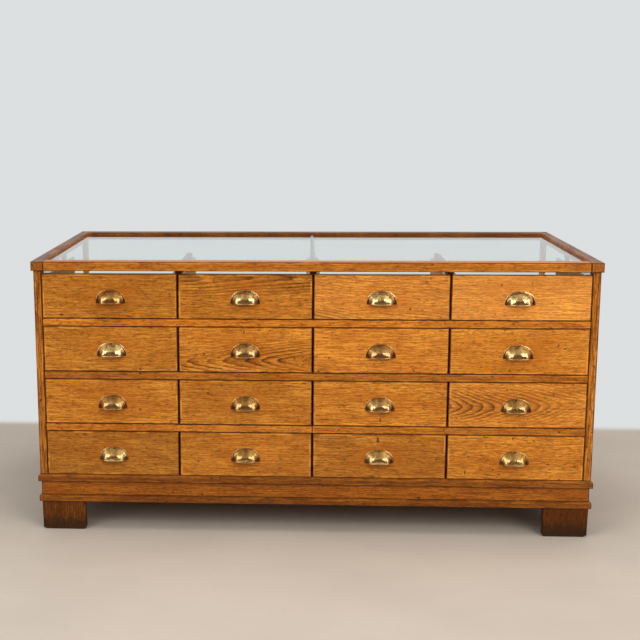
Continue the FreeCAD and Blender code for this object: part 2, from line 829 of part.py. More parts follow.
def flat_faced(name, body):
    """A straight-edged form with each face on a true plane, so that it meshes lightly."""
    document.recompute()
    faces = []
    for face in body.Shape.Faces:
        faces += flat_faces([vertex.Point for vertex in face.OuterWire.OrderedVertexes])
    piece = document.addObject("Part::Feature", name)
    piece.Shape = Part.Solid(Part.Shell(faces))
    return piece


def drawers():
    top_height = "(frame_bottom - top_slot - top_floor - front_reveal)"
    long_height = "(bay_height - 2 * front_reveal)"
    kinds = {
        "top": (top_height, drawer_masters("top", "top_drawer_length", top_height,
                                           "top_back_drop")),
        "long": (long_height, drawer_masters("long", "long_drawer_length", long_height,
                                             "back_drop")),
    }
    pull = cup_pull()
    for row in ROWS:
        front_height, (fronts, shared) = kinds["top" if row == 1 else "long"]
        for column in COLUMNS:
            front = fronts[{1: "first", 4: "last"}.get(column, "inner")]
            name = "row{}_col{}".format(row, column)
            box = node("drawer_" + name, [front] + shared)
            place(box, column_middle(column), "0", bay_floor(row) + " + running_clearance")
            handle = document.addObject("Part::Compound", "pull_" + name)
            handle.Links = [pull]
            node("pull_" + name, [handle])
            middle = "{} + front_reveal + {} / 2".format(bay_floor(row), front_height)
            place(handle, column_middle(column), "0", middle + " - pull_height / 2")


def export():
    document.recompute()
    for item in document.Objects:
        for word in ("Invalid", "Error"):
            if word in item.State:
                raise RuntimeError("{} is in state {}".format(item.Label, item.State))
    for item in nodes:
        if item.Shape.isNull() or not item.Shape.isValid():
            raise RuntimeError("{} has no valid shape".format(item.Label))
    for item in nodes:
        item.Shape.exportStep(os.path.join("parts", item.Label + ".step"))
    print(len(nodes), "nodes")


top_frame()
posts()
ends()
far_side()
drawer_bays()
plinth()
feet()
drawers()
export()
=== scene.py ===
import math
import random

import bmesh
import bpy
from mathutils import Matrix, Vector


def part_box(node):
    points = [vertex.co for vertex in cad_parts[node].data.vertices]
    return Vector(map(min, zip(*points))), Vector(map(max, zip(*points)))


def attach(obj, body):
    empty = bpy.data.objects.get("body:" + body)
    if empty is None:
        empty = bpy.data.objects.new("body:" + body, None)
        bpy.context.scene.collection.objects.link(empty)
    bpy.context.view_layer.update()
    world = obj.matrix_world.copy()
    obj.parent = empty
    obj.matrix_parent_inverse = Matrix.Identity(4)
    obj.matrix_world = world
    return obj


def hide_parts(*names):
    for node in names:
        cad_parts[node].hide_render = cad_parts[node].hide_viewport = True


# Oak shop display counter: eased boards, worn brass cup pulls and glass.
# Metres throughout, X along the drawer fronts, Y to the far side, Z up.

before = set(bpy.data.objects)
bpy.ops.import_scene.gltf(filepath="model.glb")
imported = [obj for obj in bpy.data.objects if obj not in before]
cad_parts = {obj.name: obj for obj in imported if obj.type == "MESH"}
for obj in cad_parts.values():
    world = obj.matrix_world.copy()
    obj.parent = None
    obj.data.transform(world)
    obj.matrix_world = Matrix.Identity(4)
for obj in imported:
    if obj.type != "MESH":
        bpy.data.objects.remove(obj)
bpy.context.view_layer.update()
MM = 0.001
UP = Vector((0, 0, 1))

# Camera, fitted to the photograph's edges
CAMERA_PLACE = Vector((-0.0314, -4.1781, 1.4144))
CAMERA_YAW = -0.0597
CAMERA_PITCH = -0.1828
CAMERA_ROLL = -0.0052
CAMERA_LENS = 66.11
CAMERA_SENSOR = 36
CAMERA_SHIFT = 0.134
CAMERA_REACH = 60

# Places read from the frame
CARCASS_LOW = Vector((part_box("front_post_left")[0].x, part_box("front_post_left")[0].y, 0))
CARCASS_HIGH = Vector((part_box("front_post_right")[1].x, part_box("rear_post_right")[1].y, 0))
PLINTH_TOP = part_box("plinth_front")[1].z
PLINTH_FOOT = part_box("plinth_front")[0].z

# Boards: how far edges are eased, and which angles count as flat, as an edge and as sharp
BOARD_EASE = 1.0 * MM
FRONT_EASE = 0.8 * MM
FOOT_EASE = 1.5 * MM
FLAT_ANGLE = math.radians(0.5)
EDGE_ANGLE = math.radians(20)
SHARP_ANGLE = math.radians(50)
# Axis of the grain in upright boards
UPRIGHT = 2

# Growth rings run round the heart of the tree. It lies this far behind a board's middle,
# anywhere across a band of this width, and wanders and ripples along the board.
HEART_DEPTH = 30 * MM
HEART_SPREAD = 160 * MM
HEART_WANDER = 60 * MM
RING_RIPPLE = 12 * MM
RING_GAP = 6.6 * MM
WIDE_RING_GAP = 9.2 * MM
# How far chance numbers move a board through the noise, so that no two boards match
LOT_SHIFT = (31.0, 17.0, 23.0)
PULL_LOT_SHIFT = (5, 7, 9)

# Tones go from dark at 0 to pale at 1. A board's tone is partly chosen and partly chance.
DARKEST_TONE = 0.62
PALEST_TONE = 1.40
CHOSEN_SHARE = 0.65

# Drawer fronts: painted light makes them paler towards the right and the top, where the lamps
# fall brighter; the faded tint of the palest fronts follows it
ROWS = (1, 2, 3, 4)
COLUMNS = (1, 2, 3, 4)
MIDDLE_OF_FOUR = 2.5
FRONT_TONE = 0.46
PAINTED_LIGHT_PER_COLUMN = 0.13
PAINTED_LIGHT_PER_ROW = 0.07
FADED_AND_LIT_COLOUR = (0.66, 0.325, 0.105)
# Fronts, by row and column, cut so that the grain shows as flames:
# how far above the middle the flames lie, and how sharply they run out
FLAMES = {(1, 2): (0.070, 0.06), (2, 2): (-0.038, -0.15), (3, 4): (0.005, 0.26),
          (1, 3): (-0.088, 0.12)}
# Dark upright knots in the fronts: to the right, above the middle, half height
KNOTS = {(1, 2): (-0.101, 0.055, 0.008), (2, 2): (-0.004, 0.060, 0.010),
         (3, 3): (0.002, -0.055, 0.009), (3, 4): (0.114, 0.036, 0.007),
         (4, 3): (-0.005, 0.053, 0.017), (4, 4): (-0.161, -0.052, 0.012)}
NO_KNOT = (9.0, 9.0, 1 * MM)
KNOT_TALLNESS = 2.6

# Plinth profiles, counted outward from the faces of the carcass
LOW_MOULDING_HEIGHT = 23.5 * MM
FASCIA_HEIGHT = 47.5 * MM
CAP_OUT = 6.5 * MM
FASCIA_OUT = -3 * MM
LOW_MOULDING_OUT = 4.5 * MM
MOULDING_DEPTH = 45 * MM
FASCIA_DEPTH = 20 * MM
CAP_NOSE = 9 * MM
CAP_EASE = 1.5 * MM
LOW_MOULDING_NOSE = 5 * MM
PLINTH_TONES = {"low": 0.35, "fascia": 0.95, "cap": 0.15}

# Cup pulls
PULL_WALL = 1.8 * MM
PULL_FLANGE = 6.5 * MM
PULL_TOP_FLANGE = 5 * MM
# Rings of the raised flange, in millimetres inward from the rim or outward from the cup,
# aside and upward, and how far they stand out in thicknesses of the wall
RIM_RINGS = ((0, 0, 0), (0, 0, 0.5), (0.4, 0.4, 0.8), (1.5, 1.3, 1.15))
CUP_FOOT_RINGS = ((3.0, 2.2, 1.45), (2.0, 1.5, 1.4), (0.8, 0.7, 1.05))
CUP_FOOT_OUT = 1.4 * PULL_WALL
# The cup's side view is a curve drawn towards its shoulder: shares of width, height and depth
CUP_SHOULDER = Vector((0.62, 0.56, 0.96))
CUP_FULLNESS = 2.4
CUP_RINGS = (0, 0.1, 0.18, 0.25, 0.32, 0.38, 0.44, 0.5, 0.56, 0.62, 0.69, 0.77, 0.86, 0.95)
ARCH_POWER = 2 / 2.4
ARCH_STEPS = 36
LIP_RADIUS = 1.5 * MM
LIP_SIDES = 8

# Screws of the pulls: the head's rings are shares of its radius, with their rise in millimetres
SCREW_RADIUS = 2.6 * MM
SCREW_SIDES = 16
SCREW_RINGS = ((1.0, -1.0), (1.0, 0.35), (0.86, 0.75), (0.55, 1.0))
SCREW_TOP = 1.0 * MM
SCREW_SLOT_REACH = 0.50 * SCREW_RADIUS
SCREW_SLOT_HALF_WIDTH = 0.4 * MM
SCREW_SLOT_DEPTH = 0.6 * MM
SCREW_INSET = 4.5 * MM
TOP_SCREW_OUT = 1.4 * MM
SIDE_SCREW_OUT = 0.5 * MM

# Stains of the feet, and the states of the brass
FOOT_SHADE = (0.020, 0.006, 0.002)
FOOT_DIRT = (0.020, 0.012, 0.006)
BRIGHT_BRASS = (1.0, 0.81, 0.42)
GOLDEN_PATINA = (0.64, 0.41, 0.13)
BROWN_PATINA = (0.52, 0.27, 0.09)
BRASS_SPOTS = (0.14, 0.065, 0.03)
# Brown patina in the pulls' hollows, made darker lower down by painted shade
BRASS_HOLLOWS_AND_SHADE = (0.065, 0.030, 0.014)

# Floor: where it turns into the wall's paleness, how far off it fades,
# and the strip in front that metal and glass reflect as dim
FLOOR_REACH = 12.0
FLOOR_END = 0.89
FLOOR_END_BLUR = 0.05
FLOOR_FADE = (2.4, 5.5)
DIM_FLOOR = (-2.4, -1.2)
FLOOR_COLOUR = (0.47, 0.405, 0.335)
FLOOR_SHADE = 0.92

# Room and even light
WALL_COLOUR = (0.72, 0.74, 0.74)
ROOM_COLOUR = (0.20, 0.11, 0.062)
DARK_ROOM_COLOUR = (0.09, 0.045, 0.022)
CEILING_COLOUR = (1.0, 0.88, 0.64)
DAYLIGHT_COLOUR = (0.95, 0.975, 1.0)
DAYLIGHT_BELOW = 0.07
DAYLIGHT_ABOVE = 0.98

# Lamps: name, place, aim, width, height, power and colour
WINDOW_RIGHT = Vector((2.4, -3.7, 2.4))
WINDOW_LEFT = Vector((-2.5, -3.3, 2.3))
LAMPS = (
    ("window_right", WINDOW_RIGHT, Vector((0.1, -0.3, 0.5)), 2.5, 2.4, 102, (1.0, 0.98, 0.95)),
    ("window_left", WINDOW_LEFT, Vector((-0.2, -0.3, 0.5)), 1.9, 2.2, 52, (0.97, 0.99, 1.0)),
    ("ceiling", Vector((0.2, -0.4, 3.4)), Vector((0, -0.2, 0.4)), 3.0, 1.4, 48, (1, 1, 1)),
)

# Windows that metal and glass reflect: place, half width and half height,
# the last two as parts of the distance from the middle of the drawer fronts
MIRRORED_WINDOWS = (
    (WINDOW_RIGHT, 0.27, 0.25),
    (WINDOW_LEFT, 0.21, 0.24),
    (Vector((3.5, -1.5, 1.5)), 0.20, 0.30),
    (Vector((-3.5, -1.5, 1.5)), 0.20, 0.30),
)
WINDOW_COLOUR = (2.6, 2.5, 2.3)
WINDOW_FADE = (0.8, 1.15)
WINDOW_BAR = (0.012, 0.035)
FRONTS_MIDDLE = Vector((0, -0.4, 0.6))


# Shader nodes
def feed(tree, socket, value):
    """Links an output to an input, or sets the input. Colours are given as three numbers."""
    if isinstance(value, bpy.types.NodeSocket):
        tree.links.new(value, socket)
    elif socket.type == "RGBA":
        socket.default_value = (*value, 1)
    else:
        socket.default_value = value


def fill(tree, node, values):
    """Feeds a node's inputs by name."""
    for name, value in values.items():
        feed(tree, node.inputs[name], value)


def make(tree, kind, *values, **settings):
    """Adds a node with its settings and feeds its inputs in order."""
    node = tree.nodes.new("ShaderNode" + kind)
    for name, setting in settings.items():
        setattr(node, name, setting)
    for socket, value in zip(node.inputs, values):
        feed(tree, socket, value)
    return node


def calc(tree, operation, *values, clamp=False):
    return make(tree, "Math", *values, operation=operation, use_clamp=clamp).outputs[0]


def product(tree, first, second):
    return calc(tree, "MULTIPLY", first, second)


def total(tree, first, second):
    return calc(tree, "ADD", first, second)


def largest(tree, first, *others):
    for other in others:
        first = calc(tree, "MAXIMUM", first, other)
    return first


def hypotenuse(tree, first, second):
    squares = total(tree, product(tree, first, first), product(tree, second, second))
    return calc(tree, "SQRT", squares)


def vector_calc(tree, operation, *values):
    return make(tree, "VectorMath", *values, operation=operation).outputs["Vector"]


def vector_number(tree, operation, *values):
    """A calculation on vectors that gives one number, such as a length."""
    return make(tree, "VectorMath", *values, operation=operation).outputs["Value"]


def axes(tree, vector):
    return make(tree, "SeparateXYZ", vector).outputs


def attribute(tree, name):
    return make(tree, "Attribute", attribute_name=name).outputs["Vector"]


def object_place(tree):
    return make(tree, "TexCoord").outputs["Object"]


def ray_is(tree, kind):
    """1 for rays of this kind and 0 for others."""
    return make(tree, "LightPath").outputs["Is {} Ray".format(kind)]


def seen_ray(tree):
    """1 for the rays that show the surroundings, 0 for those that only light the counter."""
    return largest(tree, ray_is(tree, "Camera"), ray_is(tree, "Transmission"))


def noise(tree, place, stretch, detail=3.0, roughness=0.55):
    """Noise from 0 to 1, as many times finer along each axis as the stretch says."""
    node = make(tree, "TexNoise")
    fill(tree, node, {"Vector": vector_calc(tree, "MULTIPLY", place, stretch), "Scale": 1,
                      "Detail": detail, "Roughness": roughness})
    return node.outputs["Fac"]


def remap(tree, value, low, high, to_low=0.0, to_high=1.0):
    """Goes smoothly from to_low to to_high while the value goes from low to high."""
    node = make(tree, "MapRange", interpolation_type="SMOOTHSTEP")
    fill(tree, node, {"Value": value, "From Min": low, "From Max": high,
                      "To Min": to_low, "To Max": to_high})
    return node.outputs["Result"]


def patches(tree, place, stretch, low, high, to_low=0.0, to_high=1.0, **settings):
    """Noise sharpened to patches with soft edges."""
    return remap(tree, noise(tree, place, stretch, **settings), low, high, to_low, to_high)


def blend_colour(tree, factor, first, second, mode="MIX"):
    node = make(tree, "Mix", data_type="RGBA", blend_type=mode)
    fill(tree, node, {"Factor": factor, "A": first, "B": second})
    return node.outputs["Result"]


def lay(tree, colour, where, share, tint):
    """Lays a share of a tint over a colour, where the mask is 1."""
    return blend_colour(tree, product(tree, where, share), colour, tint)


def bumps(tree, height, strength, distance):
    node = make(tree, "Bump")
    fill(tree, node, {"Strength": strength, "Distance": distance, "Height": height})
    return node.outputs["Normal"]


def mix_shaders(tree, factor, first, second):
    return make(tree, "MixShader", factor, first, second).outputs[0]


def new_material(name):
    material = bpy.data.materials.new(name)
    material.use_nodes = True
    tree = material.node_tree
    return material, tree, tree.nodes["Principled BSDF"]


# Oak
def growth_rings(tree, local, lot, place, figure, ring_gap, taper):
    """How strongly the growth rings darken a point of a board."""
    along, across, through = axes(tree, local)
    first, second, _ = axes(tree, lot)
    side = calc(tree, "MULTIPLY_ADD", calc(tree, "SUBTRACT", first, 0.5), HEART_SPREAD, across)
    wander = calc(tree, "SUBTRACT", noise(tree, place, (2.5, 2, 2), detail=1.0), 0.5)
    side = calc(tree, "MULTIPLY_ADD", wander, HEART_WANDER, side)
    radius = hypotenuse(tree, side, total(tree, through, HEART_DEPTH))
    run_out = product(tree, along, calc(tree, "SUBTRACT", second, 0.5))
    radius = calc(tree, "MULTIPLY_ADD", run_out, taper, radius)
    ripple = noise(tree, place, (8, 30, 30))
    radius = calc(tree, "MULTIPLY_ADD", ripple, RING_RIPPLE, radius)
    ring = calc(tree, "FRACT", calc(tree, "DIVIDE", radius, ring_gap))
    ring = product(tree, calc(tree, "POWER", ring, 2.2), remap(tree, ring, 0.82, 1.0, 1.0, 0.0))
    strength = patches(tree, place, (3, 12, 12), 0.36, 0.62, 0.3, 1.0, detail=2.0)
    near_heart = remap(tree, calc(tree, "ABSOLUTE", side), 25 * MM, 75 * MM, 1.0, 0.35)
    return product(tree, product(tree, ring, figure), product(tree, strength, near_heart))


def board_tone(tree, colour, third, fading_and_light):
    """Makes each board paler or darker as a whole, and bleaches the pale ones. On the drawer
    fronts both carry painted light, paler towards the right and the top.
    """
    tone = remap(tree, third, 0.0, 1.0, DARKEST_TONE, PALEST_TONE)
    grey = make(tree, "CombineColor", tone, tone, tone).outputs[0]
    colour = blend_colour(tree, 1.0, colour, grey, "MULTIPLY")
    # On the drawer fronts the pale tones are mostly painted light, so the faded tint laid on
    # them is partly painted light too
    if fading_and_light:
        colour = lay(tree, colour, remap(tree, third, 0.55, 0.90), fading_and_light, FADED_AND_LIT_COLOUR)
    return colour


def edge_distance(tree, local, half):
    """How far a point of a board's face is from the board's nearest edge."""
    inset = vector_calc(tree, "SUBTRACT", half, vector_calc(tree, "ABSOLUTE", local))
    along, across, through = axes(tree, inset)
    lower = calc(tree, "MINIMUM", along, across)
    upper = calc(tree, "MAXIMUM", along, across)
    return calc(tree, "MAXIMUM", lower, calc(tree, "MINIMUM", upper, through))


def worn_edges(tree, colour, local, place, grime_and_shade, pale, line):
    """Rubs pale patches along a board's edges, which are wear and also painted highlight where
    eased edges catch the light, then darkens its seams with grime and painted shade, and darkens
    its end grain.
    """
    half = attribute(tree, "half")
    edge = edge_distance(tree, local, half)
    # Pale patches along the edges: wear, and painted highlight where eased edges catch the light
    rubbed = product(tree, remap(tree, edge, 3.0 * MM, 8.5 * MM, 1.0, 0.0),
                     patches(tree, place, (9, 13, 13), 0.50, 0.60))
    colour = lay(tree, colour, rubbed, 0.55, pale)
    # Dark seams along every edge: grime, and painted shade in the gaps between parts
    seam_grime_and_shade = product(tree, remap(tree, edge, 1.0 * MM, 3.2 * MM, 1.0, 0.0),
                   patches(tree, place, (30, 30, 30), 0.30, 0.50, 0.55, 1.0, detail=4.0))
    colour = lay(tree, colour, seam_grime_and_shade, grime_and_shade, line)
    from_middle = calc(tree, "ABSOLUTE", axes(tree, local)[0])
    from_end = calc(tree, "SUBTRACT", axes(tree, half)[0], from_middle)
    end_grain = remap(tree, from_end, 0.4 * MM, 1.2 * MM, 0.22, 0.0)
    return blend_colour(tree, end_grain, colour, line)


def dark_marks(tree, local, place):
    """Specks, short cracks across the grain, and the knot that a board can have."""
    along, across, _ = axes(tree, local)
    knot_along, knot_across, knot_size = axes(tree, attribute(tree, "knot"))
    beside = product(tree, calc(tree, "SUBTRACT", along, knot_along), KNOT_TALLNESS)
    above = calc(tree, "SUBTRACT", across, knot_across)
    spread = calc(tree, "DIVIDE", hypotenuse(tree, beside, above), knot_size)
    ragged = product(tree, noise(tree, place, (300, 130, 130)), 1.6)
    knot = remap(tree, total(tree, spread, ragged), 1.1, 1.8, 1.0, 0.0)
    specks = patches(tree, place, (60, 85, 85), 0.69, 0.73, detail=2.0)
    cracks = product(tree, patches(tree, place, (330, 30, 200), 0.66, 0.72),
                     patches(tree, place, (9, 12, 9), 0.60, 0.66, detail=1.0))
    return largest(tree, knot, specks, cracks)


def stained_from_above(tree, cloud):
    """Where a board faces upward, more so under the cloud."""
    upward = axes(tree, make(tree, "NewGeometry").outputs["Normal"])[2]
    return product(tree, remap(tree, upward, 0.4, 0.9), remap(tree, cloud, 0.0, 1.0, 0.7, 1.0))


def handled(tree, local, place):
    """Where hands reach a drawer front, round its middle."""
    reach = vector_number(tree, "LENGTH", vector_calc(tree, "MULTIPLY", local, (8.5, 15, 0)))
    return product(tree, remap(tree, reach, 0.25, 1.0, 1.0, 0.0),
                   patches(tree, place, (25, 30, 30), 0.35, 0.65))


def oak(name, pale, deep, line, red, figure=0.25, ring_gap=RING_GAP, taper=0.22, grime_and_shade=0.8,
        streaks=0.85, smudge=0.0, stained_top=0.0, fading_and_light=0.0, roughness=0.36, gloss=0.22):
    """Waxed oak: growth rings, pores and rays in each board's own grain coordinates."""
    material, tree, shader = new_material(name)
    local = attribute(tree, "grain")
    lot = attribute(tree, "lot")
    shift = vector_calc(tree, "MULTIPLY", lot, LOT_SHIFT)
    place = vector_calc(tree, "ADD", local, shift)

    rings = growth_rings(tree, local, lot, place, figure, ring_gap, taper)
    streak = patches(tree, place, (13, 300, 300), 0.38, 0.62, detail=5.0, roughness=0.65)
    dashes = patches(tree, place, (52, 300, 300), 0.50, 0.66, detail=2.0)
    pores = patches(tree, place, (70, 720, 720), 0.52, 0.66)
    flecks = patches(tree, place, (55, 260, 260), 0.53, 0.68, detail=4.0)
    broad = patches(tree, place, (4, 20, 20), 0.34, 0.66)
    cloud = patches(tree, place, (6, 9, 9), 0.34, 0.66)
    colour = blend_colour(tree, product(tree, streak, streaks), pale, deep)
    for where, share, tint in ((broad, 0.38, red), (cloud, 0.35, deep), (rings, 1.0, line),
                               (dashes, 0.36, line), (flecks, 0.50, line), (pores, 0.50, line)):
        colour = lay(tree, colour, where, share, tint)

    colour = board_tone(tree, colour, axes(tree, lot)[2], fading_and_light)
    colour = worn_edges(tree, colour, local, place, grime_and_shade, pale, line)
    marks = dark_marks(tree, local, place)
    colour = lay(tree, colour, marks, 0.85, line)
    if stained_top:
        colour = lay(tree, colour, stained_from_above(tree, cloud), stained_top, line)
    if smudge:
        colour = lay(tree, colour, handled(tree, local, place), smudge, red)

    sheen = calc(tree, "MULTIPLY_ADD", noise(tree, place, (6, 26, 26)), 0.34, roughness - 0.17)
    sheen = calc(tree, "MULTIPLY_ADD", pores, 0.15, sheen)
    relief = calc(tree, "MULTIPLY_ADD", flecks, -0.4, product(tree, marks, -0.9))
    relief = calc(tree, "MULTIPLY_ADD", pores, -0.5, relief)
    fill(tree, shader, {"Base Color": colour, "Roughness": sheen, "Specular IOR Level": gloss,
                        "Normal": bumps(tree, relief, strength=0.4, distance=0.6 * MM)})
    return material


def dark_foot_oak(name):
    """Stained oak feet, darker towards the right, scuffed and dirty towards the floor."""
    material = oak(name, pale=(0.24, 0.070, 0.009), deep=(0.080, 0.021, 0.003),
                   line=(0.016, 0.005, 0.001), red=(0.15, 0.032, 0.003),
                   figure=0.3, grime_and_shade=0.5, streaks=0.7, roughness=0.5, gloss=0.12)
    tree = material.node_tree
    shader = tree.nodes["Principled BSDF"]
    colour = shader.inputs["Base Color"].links[0].from_socket
    aside, _, height = axes(tree, object_place(tree))
    shaded = remap(tree, aside, -0.5, 0.5, 0.0, 0.4)
    colour = blend_colour(tree, shaded, colour, FOOT_SHADE)
    unevenness = noise(tree, attribute(tree, "grain"), (40, 60, 60))
    ragged = calc(tree, "MULTIPLY_ADD", unevenness, 70 * MM, height)
    scuffed = remap(tree, ragged, 55 * MM, 95 * MM, 0.75, 0.0)
    colour = blend_colour(tree, scuffed, colour, FOOT_DIRT)
    fill(tree, shader, {"Base Color": colour})
    return material


# Metal and glass
def brass(name):
    """Old brass: bright where hands rub it, brown with patina in the hollows and round the
    screws, and that brown deepened lower down by painted shade.
    """
    material, tree, shader = new_material(name)
    local = attribute(tree, "grain")
    lot = attribute(tree, "lot")
    first, second, _ = axes(tree, lot)
    along, height, depth = axes(tree, local)
    shift = vector_calc(tree, "MULTIPLY", lot, PULL_LOT_SHIFT)
    place = vector_calc(tree, "ADD", local, shift)
    cloud = noise(tree, place, (48, 48, 48), detail=4.0)
    fine = noise(tree, place, (260, 260, 260))
    dents = noise(tree, place, (85, 85, 85), detail=2.0)

    rubbed = calc(tree, "MULTIPLY_ADD", depth, -14.0, -0.6)
    rubbed = calc(tree, "MULTIPLY_ADD", height, -4.0, rubbed)
    rubbed = calc(tree, "MULTIPLY_ADD", first, 0.9, rubbed)
    rubbed = calc(tree, "MULTIPLY_ADD", cloud, 1.2, rubbed, clamp=True)
    patina = blend_colour(tree, second, GOLDEN_PATINA, BROWN_PATINA)
    colour = blend_colour(tree, rubbed, patina, BRIGHT_BRASS)
    colour = lay(tree, colour, remap(tree, fine, 0.58, 0.70), 0.35, BRASS_SPOTS)

    beside_cup = product(tree, remap(tree, calc(tree, "ABSOLUTE", along), 24 * MM, 34 * MM),
                         remap(tree, depth, -7 * MM, 4 * MM))
    near_wood = remap(tree, depth, 2 * MM, 9.5 * MM)
    # Painted shade: the hollows are darker lower down on the pull and lighter towards its top
    painted_shade_lower_down = remap(tree, height, -16 * MM, 2 * MM, 0.8, 0.05)
    hollow = product(tree, largest(tree, beside_cup, near_wood), painted_shade_lower_down)
    colour = blend_colour(tree, hollow, colour, BRASS_HOLLOWS_AND_SHADE)
    polish = calc(tree, "MULTIPLY_ADD", fine, -0.3, rubbed)
    fill(tree, shader, {"Base Color": colour, "Metallic": 1.0,
                        "Roughness": remap(tree, polish, -0.1, 0.9, 0.22, 0.09),
                        "Normal": bumps(tree, dents, strength=0.5, distance=2.4 * MM)})
    return material


def screw_steel(name):
    """Browned steel screws."""
    material, tree, shader = new_material(name)
    rust = noise(tree, attribute(tree, "grain"), (400, 400, 400))
    colour = blend_colour(tree, rust, (0.10, 0.065, 0.045), (0.035, 0.018, 0.010))
    fill(tree, shader, {"Base Color": colour, "Metallic": 0.6,
                        "Roughness": remap(tree, rust, 0.2, 0.8, 0.4, 0.7)})
    return material


def plated_bar(name):
    """Dulled plating on the strip between the two top panes."""
    material, tree, shader = new_material(name)
    wiped = noise(tree, object_place(tree), (120, 6, 120))
    colour = blend_colour(tree, wiped, (0.50, 0.50, 0.48), (0.36, 0.36, 0.34))
    fill(tree, shader, {"Base Color": colour, "Metallic": 0.2,
                        "Roughness": remap(tree, wiped, 0.2, 0.8, 0.35, 0.55)})
    return material


def glass(name, tint):
    """Clear glass that lets the lamps through."""
    material, tree, shader = new_material(name)
    fill(tree, shader, {"Base Color": tint, "Roughness": 0.0, "IOR": 1.5,
                        "Transmission Weight": 1.0})
    clear = make(tree, "BsdfTransparent", tint).outputs[0]
    lighting = largest(tree, ray_is(tree, "Shadow"), ray_is(tree, "Diffuse"))
    surface = mix_shaders(tree, lighting, shader.outputs[0], clear)
    fill(tree, tree.nodes["Material Output"], {"Surface": surface})
    return material


# Boards: each solid of a node again, with eased edges and its own piece of oak
def solids_of(node):
    """The solids of a node, each as corners and faces; one ends where its surface closes."""
    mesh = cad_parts[node].data
    solids = []
    corners, faces, open_edges = {}, [], set()
    for polygon in mesh.polygons:
        spots = [tuple(round(c, 6) for c in mesh.vertices[i].co) for i in polygon.vertices]
        face = [corners.setdefault(spot, len(corners)) for spot in spots]
        if len(set(face)) < 3:
            continue
        faces.append(face)
        for start, end in zip(face, face[1:] + face[:1]):
            if (end, start) in open_edges:
                open_edges.remove((end, start))
            else:
                open_edges.add((start, end))
        if not open_edges:
            solids.append(([Vector(spot) for spot in corners], faces))
            corners, faces = {}, []
    return solids


def grain_order(size, grain):
    """Which axes run along, across and through a board of this size."""
    order = sorted(range(3), key=lambda axis: -size[axis])
    if grain is not None:
        order.remove(grain)
        order.insert(0, grain)
    return order


def stamp_grain(form, key, grain=None, tone=None, flame=None, knot=NO_KNOT):
    """Writes a board's grain coordinates, half sizes, chance numbers and knot to its corners."""
    low = Vector([min(v.co[axis] for v in form.verts) for axis in range(3)])
    high = Vector([max(v.co[axis] for v in form.verts) for axis in range(3)])
    order = grain_order(high - low, grain)
    middle = (low + high) / 2
    chance = random.Random(key)
    lot = Vector([chance.random() for _ in range(3)])
    if tone is not None:
        lot.z = (1 - CHOSEN_SHARE) * lot.z + CHOSEN_SHARE * tone
    if flame is not None:
        above, run_out = flame
        lot.x = 0.5 - above / HEART_SPREAD
        lot.y = 0.5 + run_out
    half = Vector([(high - low)[axis] / 2 for axis in order])
    layers = [form.verts.layers.float_vector.new(name)
              for name in ("grain", "half", "lot", "knot")]
    for corner in form.verts:
        offset = corner.co - middle
        grain_place = Vector([offset[axis] for axis in order])
        for layer, value in zip(layers, (grain_place, half, lot, Vector(knot))):
            corner[layer] = value


def add_form(whole, form):
    """Adds one form to another and frees it."""
    mesh = bpy.data.meshes.new("part")
    form.to_mesh(mesh)
    form.free()
    whole.from_mesh(mesh)
    bpy.data.meshes.remove(mesh)


def board_form(corners, faces, ease):
    """A solid with its flat faces made whole and its edges eased."""
    form = bmesh.new()
    spots = [form.verts.new(corner) for corner in corners]
    for face in faces:
        form.faces.new([spots[index] for index in face])
    bmesh.ops.dissolve_limit(form, angle_limit=FLAT_ANGLE, verts=form.verts, edges=form.edges)
    sharp = [edge for edge in form.edges
             if edge.is_manifold and edge.calc_face_angle(0) > EDGE_ANGLE]
    if ease:
        bmesh.ops.bevel(form, geom=sharp, offset=ease, segments=2, profile=0.5,
                        affect="EDGES", clamp_overlap=True)
    return form


def new_object(name, data):
    thing = bpy.data.objects.new(name, data)
    bpy.context.scene.collection.objects.link(thing)
    return thing


def finish_piece(name, whole, materials, body, nodes):
    """Turns a form into a piece of its body that stands in for these nodes."""
    mesh = bpy.data.meshes.new(name)
    bmesh.ops.recalc_face_normals(whole, faces=whole.faces)
    whole.to_mesh(mesh)
    whole.free()
    for material in materials:
        mesh.materials.append(material)
    mesh.shade_smooth()
    mesh.set_sharp_from_angle(angle=SHARP_ANGLE)
    piece = new_object(name, mesh)
    weighted = piece.modifiers.new("weighted_normals", "WEIGHTED_NORMAL")
    weighted.keep_sharp = True
    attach(piece, body)
    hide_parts(*nodes)


def boards(node, material, ease=BOARD_EASE, grain=None, tone=None):
    """All boards of a node of the carcass, in one oak."""
    whole = bmesh.new()
    for number, (corners, faces) in enumerate(solids_of(node)):
        form = board_form(corners, faces, ease)
        stamp_grain(form, "{}_{}".format(node, number), grain, tone)
        add_form(whole, form)
    finish_piece(node + "_wood", whole, [material], "carcass", [node])


def drawer(row, column, front_wood, side_wood):
    """A drawer whose front is show wood and whose box is plainer wood."""
    name = "row{}_col{}".format(row, column)
    # Painted light: the tone rises towards the right and the top, where the lamps fall brighter
    tone = (FRONT_TONE + PAINTED_LIGHT_PER_COLUMN * (column - MIDDLE_OF_FOUR)
            + PAINTED_LIGHT_PER_ROW * (MIDDLE_OF_FOUR - row))
    node = "drawer_" + name
    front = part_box(node)[0].y
    whole = bmesh.new()
    for number, (corners, faces) in enumerate(solids_of(node)):
        form = board_form(corners, faces, FRONT_EASE)
        key = "{}_{}".format(node, number)
        is_front = min(corner.y for corner in corners) < front + 1 * MM
        if is_front:
            stamp_grain(form, key, tone=tone, flame=FLAMES.get((row, column)),
                        knot=KNOTS.get((row, column), NO_KNOT))
        else:
            stamp_grain(form, key)
        for face in form.faces:
            face.material_index = 0 if is_front else 1
        add_form(whole, form)
    finish_piece(node + "_wood", whole, [front_wood, side_wood], name, [node])


